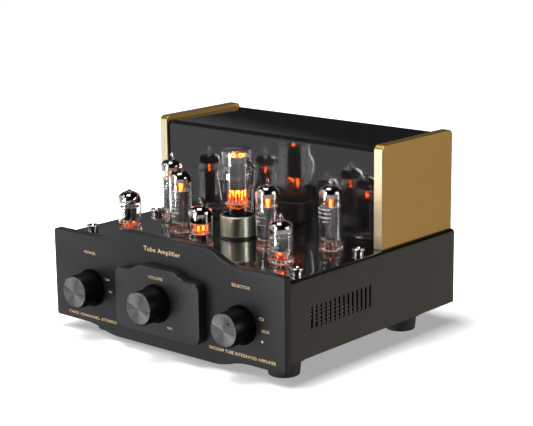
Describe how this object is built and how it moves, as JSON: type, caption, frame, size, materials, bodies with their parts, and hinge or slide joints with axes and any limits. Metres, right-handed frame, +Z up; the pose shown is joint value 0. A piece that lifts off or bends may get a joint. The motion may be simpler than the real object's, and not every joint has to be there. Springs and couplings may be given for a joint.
{
  "type": "tube amplifier",
  "caption": "Desktop vacuum tube amplifier: black chassis with a wavy thick faceplate, turned knobs, upright glass tubes and a transformer cover between gold end plates.",
  "frame": {"origin": "bottom centre of the whole object's box, on the surface the feet stand on", "axes": "+X to the right seen from the front, +Y from the faceplate to the back, +Z up"},
  "size_m": [0.29, 0.3078, 0.1874],
  "materials": {
    "faceplate_black": "fine brushed black anodised aluminium",
    "knob_black": "spun black anodised aluminium",
    "chassis_black": "gloss black paint on sheet steel",
    "cover_black": "finely textured gloss black paint",
    "gold_plate": "satin brushed champagne gold anodised aluminium",
    "foot_rubber": "moulded black rubber",
    "post_chrome": "polished chrome",
    "plated_steel": "zinc plated steel",
    "core_steel": "varnished laminations",
    "winding": "taped copper winding",
    "tube_glass": "clear blown glass",
    "cage_grey": "blackened nickel anode sheet",
    "base_nickel": "brushed nickel plated sleeve",
    "socket_ceramic": "glazed white ceramic",
    "bakelite_black": "moulded black bakelite",
    "control_case": "plated control case",
    "wafer_brown": "laminated wafer board",
    "board_green": "solder mask over glass fibre board",
    "capacitor_blue": "plastic sleeved parts",
    "gold_brass": "gold plated brass",
    "cap_black": "moulded plastic",
    "cap_red": "moulded plastic",
    "inlet_black": "moulded nylon"
  },
  "bodies": {
    "amplifier": {"chassis_shell": "chassis_black", "rear_panel": "chassis_black", "bottom_cover": "chassis_black", "faceplate": "faceplate_black", "volume_plate": "faceplate_black", "transformer_cover": "cover_black", "end_plate_left": "gold_plate", "end_plate_right": "gold_plate", "mains_transformer_core": "core_steel", "mains_transformer_coil": "winding", "output_transformer_cores": "core_steel", "output_transformer_coils": "winding", "transformer_bolts": "plated_steel", "foot_front_left": "foot_rubber", "foot_front_right": "foot_rubber", "foot_rear_left": "foot_rubber", "foot_rear_right": "foot_rubber", "chassis_screws": "plated_steel", "cage_posts": "post_chrome", "panel_nuts": "plated_steel", "power_switch": "bakelite_black", "volume_control": "control_case", "selector_switch": "wafer_brown", "tube_sockets": "socket_ceramic", "rectifier_socket": "bakelite_black", "circuit_board": "board_green", "board_parts": "capacitor_blue", "board_standoffs": "plated_steel", "speaker_post_studs": "gold_brass", "input_jacks": "gold_brass", "mains_inlet": "inlet_black"},
    "power_control": {"power_knob": "knob_black", "power_shaft": "plated_steel"},
    "volume_turner": {"volume_knob": "knob_black", "volume_shaft": "plated_steel"},
    "selector_turner": {"selector_knob": "knob_black", "selector_shaft": "plated_steel"},
    "preamp_left": {"preamp_tube_left": "tube_glass", "preamp_cage_left": "cage_grey"},
    "preamp_centre": {"preamp_tube_centre": "tube_glass", "preamp_cage_centre": "cage_grey"},
    "preamp_right": {"preamp_tube_right": "tube_glass", "preamp_cage_right": "cage_grey"},
    "power_left_outer": {"power_tube_left_outer": "tube_glass", "power_cage_left_outer": "cage_grey"},
    "power_left_inner": {"power_tube_left_inner": "tube_glass", "power_cage_left_inner": "cage_grey"},
    "power_right_inner": {"power_tube_right_inner": "tube_glass", "power_cage_right_inner": "cage_grey"},
    "power_right_outer": {"power_tube_right_outer": "tube_glass", "power_cage_right_outer": "cage_grey"},
    "rectifier": {"rectifier_bulb": "tube_glass", "rectifier_cage": "cage_grey", "rectifier_base": "base_nickel"},
    "cap_left_minus": {"post_cap_left_minus": "cap_black"},
    "cap_left_plus": {"post_cap_left_plus": "cap_red"},
    "cap_right_minus": {"post_cap_right_minus": "cap_black"},
    "cap_right_plus": {"post_cap_right_plus": "cap_red"},
    "drawer": {"fuse_drawer": "inlet_black", "fuse": "tube_glass"}
  },
  "joints": [
    {"name": "power_turn", "type": "hinge", "parent": "amplifier", "child": "power_control", "pos_m": [-0.0945, -0.1221, 0.0465], "axis": [0, 1, 0], "range_deg": [-30, 0]},
    {"name": "volume_turn", "type": "hinge", "parent": "amplifier", "child": "volume_turner", "pos_m": [0, -0.1311, 0.0503], "axis": [0, 1, 0], "range_deg": [0, 300]},
    {"name": "selector_turn", "type": "hinge", "parent": "amplifier", "child": "selector_turner", "pos_m": [0.0945, -0.1221, 0.0465], "axis": [0, 1, 0], "range_deg": [0, 60]},
    {"name": "preamp_left_pull", "type": "slide", "parent": "amplifier", "child": "preamp_left", "axis": [0, 0, 1], "range_m": [0, 0.03]},
    {"name": "preamp_centre_pull", "type": "slide", "parent": "amplifier", "child": "preamp_centre", "axis": [0, 0, 1], "range_m": [0, 0.03]},
    {"name": "preamp_right_pull", "type": "slide", "parent": "amplifier", "child": "preamp_right", "axis": [0, 0, 1], "range_m": [0, 0.03]},
    {"name": "power_left_outer_pull", "type": "slide", "parent": "amplifier", "child": "power_left_outer", "axis": [0, 0, 1], "range_m": [0, 0.03]},
    {"name": "power_left_inner_pull", "type": "slide", "parent": "amplifier", "child": "power_left_inner", "axis": [0, 0, 1], "range_m": [0, 0.03]},
    {"name": "power_right_inner_pull", "type": "slide", "parent": "amplifier", "child": "power_right_inner", "axis": [0, 0, 1], "range_m": [0, 0.03]},
    {"name": "power_right_outer_pull", "type": "slide", "parent": "amplifier", "child": "power_right_outer", "axis": [0, 0, 1], "range_m": [0, 0.03]},
    {"name": "rectifier_pull", "type": "slide", "parent": "amplifier", "child": "rectifier", "axis": [0, 0, 1], "range_m": [0, 0.035]},
    {"name": "cap_left_minus_turn", "type": "hinge", "parent": "amplifier", "child": "cap_left_minus", "pos_m": [-0.052, 0.1359, 0.056], "axis": [0, 1, 0], "range_deg": [0, 720]},
    {"name": "cap_left_plus_turn", "type": "hinge", "parent": "amplifier", "child": "cap_left_plus", "pos_m": [-0.028, 0.1359, 0.056], "axis": [0, 1, 0], "range_deg": [0, 720]},
    {"name": "cap_right_minus_turn", "type": "hinge", "parent": "amplifier", "child": "cap_right_minus", "pos_m": [0.018, 0.1359, 0.056], "axis": [0, 1, 0], "range_deg": [0, 720]},
    {"name": "cap_right_plus_turn", "type": "hinge", "parent": "amplifier", "child": "cap_right_plus", "pos_m": [0.042, 0.1359, 0.056], "axis": [0, 1, 0], "range_deg": [0, 720]},
    {"name": "drawer_slide", "type": "slide", "parent": "amplifier", "child": "drawer", "axis": [0, 1, 0], "range_m": [0, 0.02]}
  ]
}
